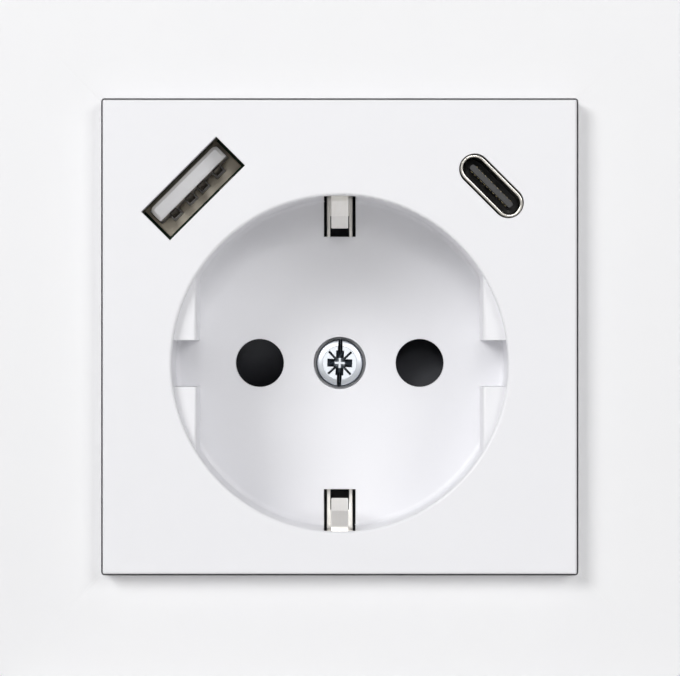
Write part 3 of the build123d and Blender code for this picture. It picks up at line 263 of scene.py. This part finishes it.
for name, node in nodes.items():
    node.data.materials.clear()
    node.data.materials.append(finishOf(name))
print("finishes made:", len(bpy.data.materials))


# A finished piece stands for its CAD node, moves with its body and takes its slot's finish
def standFor(piece, name):
    piece.data.materials.clear()
    piece.data.materials.append(finishOf(name))
    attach(piece, bodyOf[name])
    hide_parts(name)


def newPiece(name, mesh):
    piece = bpy.data.objects.new(name, mesh)
    bpy.context.scene.collection.objects.link(piece)
    return piece


def toMesh(name, shape):
    mesh = bpy.data.meshes.new(name)
    shape.to_mesh(mesh)
    shape.free()
    return mesh


# Mesh that is shaded smooth except at edges sharper than the angle
def smoothMesh(name, shape, angle):
    for edge in shape.edges:
        edge.smooth = edge.calc_face_angle(0) < radians(angle)
    mesh = toMesh(name, shape)
    mesh.polygons.foreach_set("use_smooth", [True] * len(mesh.polygons))
    return mesh


# How edges are cleaned and rounded: lengths in mm, angles in degrees
rounding = {"merge": 0.002, "flat": 0.4, "sliver": 0.03, "corner": 50, "steps": 2, "bulge": 0.5, "smooth": 38}


# Copy of a CAD node with its sharp outer edges rounded by the given radius in mm
def softened(name, radius):
    shape = bmesh.new()
    shape.from_mesh(nodes[name].data)
    bmesh.ops.remove_doubles(shape, verts=shape.verts, dist=rounding["merge"] * mm)
    bmesh.ops.dissolve_limit(
        shape, angle_limit=radians(rounding["flat"]), verts=shape.verts, edges=shape.edges)
    bmesh.ops.dissolve_degenerate(shape, dist=rounding["sliver"] * mm, edges=shape.edges)
    if radius:
        outer = [edge for edge in shape.edges if edge.calc_face_angle_signed(0) > radians(rounding["corner"])]
        bmesh.ops.bevel(
            shape, geom=outer, offset=radius * mm, offset_type="OFFSET", segments=rounding["steps"],
            profile=rounding["bulge"], affect="EDGES", clamp_overlap=False, loop_slide=True)
    bmesh.ops.triangulate(shape, faces=shape.faces)
    piece = newPiece(name + "_soft", smoothMesh(name + "_soft", shape, rounding["smooth"]))
    weigh = piece.modifiers.new("even_shading", "WEIGHTED_NORMAL")
    weigh.keep_sharp = True
    standFor(piece, name)


# Edge radii in mm as moulding, stamping and folding leave them
edgeRadii = {
    "cover_frame": 0.06, "center_plate": 0.1, "shutter": 0.25, "earth_bracket": 0.12, "earth_busbar": 0.08,
    "support_ring": 0.1, "socket_base": 0.12, "rear_cover": 0.15,
    "line_contact": 0.08, "neutral_contact": 0.08,
    "line_clamp_spring": 0.05, "earth_clamp_spring": 0.05, "neutral_clamp_spring": 0.05,
    "line_release_button": 0.12, "earth_release_button": 0.12, "neutral_release_button": 0.12,
    "usb_a_shell": 0.06, "usb_a_tongue": 0.08, "usb_a_contacts": 0.06,
    "usb_c_shell": 0.08, "usb_c_tongue": 0.06, "usb_c_contacts": 0.02,
    "board_pins": 0.06, "usb_board": 0.05, "power_board": 0.05, "transformer_core": 0.2,
    "input_capacitor": 0.15, "output_capacitor": 0.15, "supply_choke": 0.15, "supply_fuse": 0.15,
    "supply_chips": 0.12, "port_chip": 0.1, "shutter_spring": 0.0,
}
for name, radius in edgeRadii.items():
    softened(name, radius)
print("edges rounded:", len(edgeRadii), "pieces")


# Solid turned round the Y axis from pairs of radius and depth in mm
def turned(profile, steps):
    shape = bmesh.new()
    rings = []
    for radius, depth in profile:
        angles = [2 * pi * i / steps for i in range(steps if radius else 1)]
        rings.append([shape.verts.new((radius * cos(angle), depth, radius * sin(angle))) for angle in angles])
    for one, two in zip(rings, rings[1:]):
        for i in range(steps):
            ring = [one[i % len(one)], one[(i + 1) % len(one)], two[(i + 1) % len(two)], two[i % len(two)]]
            shape.faces.new(list(dict.fromkeys(ring)))
    bmesh.ops.recalc_face_normals(shape, faces=shape.faces)
    return shape


# Tapered box between two depths, turned about the Y axis, for cutting a recess
def wedge(cut, turn):
    shape = bmesh.new()
    spin = Matrix.Rotation(radians(turn), 3, "Y")
    points = [spin @ Vector((sx * size[0] / 2, depth, sz * size[1] / 2))
              for size, depth in ((cut["topSize"], cut["top"]), (cut["bottomSize"], cut["bottom"]))
              for sx, sz in ((-1, -1), (1, -1), (1, 1), (-1, 1))]
    verts = [shape.verts.new(point) for point in points]
    for ring in ((0, 1, 2, 3), (7, 6, 5, 4), (0, 4, 5, 1), (1, 5, 6, 2), (2, 6, 7, 3), (3, 7, 4, 0)):
        shape.faces.new([verts[i] for i in ring])
    bmesh.ops.recalc_face_normals(shape, faces=shape.faces)
    return shape


# Evaluated copy of an object's mesh, after which its modifiers go
def settled(piece):
    evaluated = piece.evaluated_get(bpy.context.evaluated_depsgraph_get())
    mesh = bpy.data.meshes.new_from_object(evaluated)
    piece.modifiers.clear()
    piece.data = mesh
    return piece


# Body with its cutters taken out one by one
def carved(name, body, cutters):
    piece = newPiece(name, toMesh(name, body))
    tools = [newPiece(name + "_tool", toMesh(name + "_tool", cutter)) for cutter in cutters]
    for tool in tools:
        cut = piece.modifiers.new("cut", "BOOLEAN")
        cut.operation = "DIFFERENCE"
        cut.solver = "EXACT"
        cut.object = tool
    settled(piece)
    for tool in tools:
        bpy.data.objects.remove(tool)
    return piece


# Geometry Nodes tree with named inputs, and the sockets that give their values
def growthTree(name, sockets):
    tree = bpy.data.node_groups.new(name, "GeometryNodeTree")
    for label, kind in sockets.items():
        tree.interface.new_socket(label, in_out="INPUT", socket_type="NodeSocket" + kind)
    tree.interface.new_socket("Geometry", in_out="OUTPUT", socket_type="NodeSocketGeometry")
    return tree, addNode(tree, "NodeGroupInput", {}, {}).outputs


# Its end: instances made real, and one material
def endGrowth(tree, geometry, material):
    real = addNode(tree, "GeometryNodeRealizeInstances", {}, {"Geometry": geometry}).outputs["Geometry"]
    done = addNode(tree, "GeometryNodeSetMaterial", {}, {"Geometry": real, "Material": material})
    addNode(tree, "NodeGroupOutput", {}, {"Geometry": done.outputs["Geometry"]})


# Mesh grown by a tree, its inputs set by identifier before it is first evaluated
def grown(name, tree, values, places=()):
    mesh = bpy.data.meshes.new(name)
    mesh.from_pydata([Vector(place) * mm for place in places], [], [])
    piece = newPiece(name, mesh)
    growth = piece.modifiers.new("growth", "NODES")
    growth.node_group = tree
    for socket in tree.interface.items_tree:
        if socket.name in values:
            growth[socket.identifier] = values[socket.name]
    return settled(piece)


# Thread: three-sided ridge that follows a spiral into the wall
threadTree, given = growthTree("thread", {
    "Turns": "Float", "Radius": "Float", "Length": "Float", "Ridge": "Float", "Material": "Material"})
spiral = addNode(threadTree, "GeometryNodeCurveSpiral", {}, {
    "Resolution": 32, "Rotations": given["Turns"], "Start Radius": given["Radius"],
    "End Radius": given["Radius"], "Height": given["Length"]})
ridge = addNode(threadTree, "GeometryNodeCurvePrimitiveCircle", {}, {
    "Resolution": 3, "Radius": given["Ridge"]})
swept = addNode(threadTree, "GeometryNodeCurveToMesh", {}, {
    "Curve": spiral.outputs["Curve"], "Profile Curve": ridge.outputs["Curve"], "Fill Caps": True})
laid = addNode(threadTree, "GeometryNodeTransform", {}, {
    "Geometry": swept.outputs["Mesh"], "Rotation": (-pi / 2, 0, 0)})
endGrowth(threadTree, laid.outputs["Geometry"], given["Material"])

# Repeats: one piece set at every place of the mesh that carries the tree
repeatTree, given = growthTree("repeat", {"Places": "Geometry", "Piece": "Object", "Material": "Material"})
info = addNode(repeatTree, "GeometryNodeObjectInfo", {}, {"Object": given["Piece"], "As Instance": True})
spread = addNode(repeatTree, "GeometryNodeInstanceOnPoints", {}, {
    "Points": given["Places"], "Instance": info.outputs["Geometry"]})
endGrowth(repeatTree, spread.outputs["Instances"], given["Material"])


# One mesh from several that are drawn in mm round the origin, moved to its place
def joined(name, meshes, place, angle):
    shape = bmesh.new()
    for mesh in meshes:
        shape.from_mesh(mesh)
    bmesh.ops.scale(shape, vec=(mm, mm, mm), verts=shape.verts)
    bmesh.ops.translate(shape, vec=Vector(place) * mm, verts=shape.verts)
    return smoothMesh(name, shape, angle)


# Screw with its recess carved into the head and a thread along its shank
def screwPiece(name, screw):
    cutters = [wedge(cut, turn) for cut in screw["cuts"] for turn in cut["turns"]]
    head = carved(name + "_head", turned(screw["profile"], screw["steps"]), cutters)
    thread = grown(name + "_thread", threadTree, {
        "Turns": screw["threadTurns"], "Radius": screw["threadRadius"], "Length": screw["threadLength"],
        "Ridge": screw["ridge"], "Material": zinc})
    thread.data.transform(Matrix.Translation((0, screw["threadStart"], 0)))
    piece = newPiece(name, joined(name, [head.data, thread.data], screw["place"], screw["smooth"]))
    for part in (head, thread):
        bpy.data.objects.remove(part)
    return piece


# Painted shade in screws' recesses, from the face down to the depth, and on the rims of their heads, all in
# mm: a dark, dull zinc stands in for the shade there
def paintShade(piece, places, face, depth, recess, rim):
    piece.data.materials.append(paintedShadeZinc)
    for polygon in piece.data.polygons:
        spot = polygon.center / mm
        reach = min(Vector((spot.x - x, spot.z - z)).length for x, y, z in places)
        inside = 0 < (spot.y - face) / depth < 1
        steep = abs(polygon.normal.y) < steepest
        if reach > rim or (inside and (steep or reach < recess)):
            polygon.material_index = 1


# Center screw: low head with a rounded rim, cross recess, full slot and four ticks between its arms
center = {
    "place": (0, 0, -3.1), "steps": 96, "smooth": 30,
    "threadStart": 8.2, "threadTurns": 13.0, "threadRadius": 1.32, "threadLength": 6.4, "ridge": 0.16,
    "profile": [
        (0, 6.2), (2.0, 6.2), (2.06, 6.25), (2.5, 6.31), (2.66, 6.4), (2.76, 6.56), (2.8, 6.75), (2.8, 7.62),
        (2.72, 7.7), (1.5, 7.7), (1.26, 7.9), (1.26, 14.8), (0.95, 15.2), (0, 15.2)],
    "cuts": [
        {"topSize": (3.1, 1.0), "bottomSize": (1.2, 0.25), "top": 6.1, "bottom": 7.4, "turns": (2.0, 92.0)},
        {"topSize": (0.62, 6.2), "bottomSize": (0.02, 6.2), "top": 6.1, "bottom": 7.1, "turns": (2.0,)},
        {"topSize": (0.34, 3.9), "bottomSize": (0.02, 3.4), "top": 6.1, "bottom": 6.6,
         "turns": (47.0, -43.0)},
    ],
    "paintedShade": {"face": 6.24, "depth": 1.12, "recess": 2.02, "rim": 2.68},
}
centerScrew = screwPiece("center_screw_fine", center)
standFor(centerScrew, "center_screw")
# its recess and the rim of its head get the painted shade
paintShade(centerScrew, [center["place"]], **center["paintedShade"])

# Ring rivets: one turned rivet with a domed head and a flared end, set at the four corners
rivet = {
    "steps": 48, "offset": 27.6, "smooth": 40,
    "profile": [
        (0, -3.2), (1.2, -3.16), (1.7, -3.03), (2.0, -2.8), (2.1, -2.55), (2.1, -2.5), (1.25, -2.5),
        (1.25, -0.45), (1.68, -0.02), (1.6, 0.0), (0.5, 0.0), (0.35, -0.3), (0, -0.4)],
}
rivetForm = toMesh("rivet", turned(rivet["profile"], rivet["steps"]))
oneRivet = newPiece("one_rivet", joined("one_rivet", [rivetForm], (0, 0, 0), rivet["smooth"]))
rivets = grown("ring_rivets_fine", repeatTree, {"Piece": oneRivet, "Material": zinc},
               [(sx * rivet["offset"], 0, sz * rivet["offset"]) for sx in (-1, 1) for sz in (-1, 1)])
bpy.data.objects.remove(oneRivet)
standFor(rivets, "ring_rivets")

# Housing screws: sunk cross heads at the back, cutting threads in the bosses of the base
housing = {
    "place": (0, 0, 0), "steps": 64, "smooth": 30, "offset": 18.5, "level": -3.1,
    "threadStart": 11.0, "threadTurns": 11.0, "threadRadius": 1.0, "threadLength": 9.0, "ridge": 0.18,
    "profile": [
        (0, 32.28), (1.6, 32.26), (1.95, 32.15), (2.15, 31.95), (2.2, 31.7), (2.2, 31.1), (0.95, 31.1),
        (0.95, 11.2), (0.3, 10.4), (0, 10.4)],
    "cuts": [
        {"topSize": (2.7, 0.62), "bottomSize": (1.3, 0.3), "top": 32.5, "bottom": 31.6,
         "turns": (12.0, 102.0)},
    ],
    "paintedShade": {"face": 32.2, "depth": -0.8, "recess": 1.4, "rim": 2.12},
}
housePlaces = [(side * housing["offset"], 0, housing["level"]) for side in (-1, 1)]
oneScrew = screwPiece("one_screw", housing)
houseScrews = grown("housing_screws_fine", repeatTree, {"Piece": oneScrew, "Material": zinc}, housePlaces)
bpy.data.objects.remove(oneScrew)
standFor(houseScrews, "housing_screws")
# their recesses and the rims of their heads get the painted shade
paintShade(houseScrews, housePlaces, **housing["paintedShade"])

# Winding: turns of enamelled wire laid side by side round each half of the coil
winding = {"lo": (1.55, 20.0, 9.45), "hi": (3.65, 29.15, 15.75), "wire": 0.36, "count": 17, "corner": 0.5}
windTree, given = growthTree("winding", {
    "Places": "Geometry", "Width": "Float", "Height": "Float", "Corner": "Float", "Wire": "Float",
    "Material": "Material"})
loop = addNode(windTree, "GeometryNodeCurvePrimitiveQuadrilateral", {}, {
    "Width": given["Width"], "Height": given["Height"]})
bent = addNode(windTree, "GeometryNodeFilletCurve", {}, {
    "Curve": loop.outputs["Curve"], "Radius": given["Corner"]})
strand = addNode(windTree, "GeometryNodeCurvePrimitiveCircle", {}, {"Resolution": 8, "Radius": given["Wire"]})
oneTurn = addNode(windTree, "GeometryNodeCurveToMesh", {}, {
    "Curve": bent.outputs["Curve"], "Profile Curve": strand.outputs["Curve"]})
turns = addNode(windTree, "GeometryNodeInstanceOnPoints", {}, {
    "Points": given["Places"], "Instance": oneTurn.outputs["Mesh"]})
endGrowth(windTree, turns.outputs["Instances"], given["Material"])
spanX, spanY, spanZ = (winding["hi"][i] - winding["lo"][i] - winding["wire"] for i in range(3))
middle = [(winding["hi"][i] + winding["lo"][i]) / 2 for i in range(3)]
turnPlaces = [(side * middle[0], middle[1], middle[2] + (i / (winding["count"] - 1) - 0.5) * spanZ)
              for side in (-1, 1) for i in range(winding["count"])]
coil = grown("transformer_winding_fine", windTree, {
    "Width": spanX * mm, "Height": spanY * mm, "Corner": winding["corner"] * mm,
    "Wire": winding["wire"] / 2 * mm, "Material": finishes["copper_winding"]}, turnPlaces)
coil.data.polygons.foreach_set("use_smooth", [True] * len(coil.data.polygons))
standFor(coil, "transformer_winding")
print("screws, rivets and winding made")

# Camera square to the plate, as far away as the photo's straight walls of the recess show
view = {"lens": 319.7, "sensor": 36.0, "near": 0.01, "place": (0.00003, -0.7115, -0.000134), "turn": 90}
cameraData = bpy.data.cameras.new("camera")
cameraData.lens = view["lens"]
cameraData.sensor_width = view["sensor"]
cameraData.clip_start = view["near"]
camera = bpy.data.objects.new("camera", cameraData)
camera.location = view["place"]
camera.rotation_euler = (radians(view["turn"]), 0, 0)
bpy.context.scene.collection.objects.link(camera)
bpy.context.scene.camera = camera

# Soft light panels, by place and width in m and power in W, that all look at the origin
panels = {
    "key": ((-0.57, -0.72, 0.46), 0.45, 6.0),  # from the left
    "fill": ((0.6, -0.85, 0.4), 0.45, 3.5),  # from the right
    "front": ((0.0, -1.12, 0.26), 0.16, 1.25),  # so far above the camera that flat metal doesn't mirror it
    "rear": ((0.36, 0.62, 0.22), 0.4, 2.8),  # for the back alone
}
for name, (place, width, power) in panels.items():
    light = bpy.data.lights.new(name, "AREA")
    light.shape = "SQUARE"
    light.size = width
    light.energy = power
    panel = bpy.data.objects.new(name, light)
    panel.location = place
    panel.rotation_euler = (-Vector(place)).to_track_quat("-Z", "Y").to_euler()
    panel.visible_camera = False
    bpy.context.scene.collection.objects.link(panel)

# Pale backdrop for the camera and in mirrors; what lights the object are the panels
backdrop = {"tone": "#ffffff", "light": 0.04, "seen": 0.75}
world = bpy.data.worlds.new("studio")
world.use_nodes = True
sky = world.node_tree
rays = addNode(sky, "ShaderNodeLightPath", {}, {}).outputs
seen = rays["Is Camera Ray"]
for kind in ("Is Glossy Ray", "Is Transmission Ray"):
    seen = addNode(sky, "ShaderNodeMath", {"operation": "MAXIMUM"}, {
        0: seen, 1: rays[kind]}).outputs["Value"]
strength = addNode(sky, "ShaderNodeMapRange", {}, {
    "Value": seen, "To Min": backdrop["light"], "To Max": backdrop["seen"]})
sky.links.new(strength.outputs["Result"], sky.nodes["Background"].inputs["Strength"])
sky.nodes["Background"].inputs["Color"].default_value = linear(backdrop["tone"])
bpy.context.scene.world = world

# Pale paper floor under the frame's lower edge, its half width in m
floorHalf = 3.0
floorShape = bmesh.new()
bmesh.ops.create_grid(floorShape, x_segments=1, y_segments=1, size=floorHalf)
bmesh.ops.translate(floorShape, vec=(0, 0, cadBounds[0].z), verts=floorShape.verts)
floor = newPiece("floor", toMesh("floor", floorShape))
# uncoated sheet: matt, with hardly any change of tone
floor.data.materials.append(surface("paper_matt_pale", {
    "tone": "#e4e4e3", "otherTone": "#e0dfde", "toneSize": 60.0, "rough": (0.7, 0.8), "roughSize": 20.0,
    "relief": 0.02, "reliefSize": 2.0}))
bpy.context.scene.view_settings.view_transform = "Standard"
print("camera, lights and floor set")
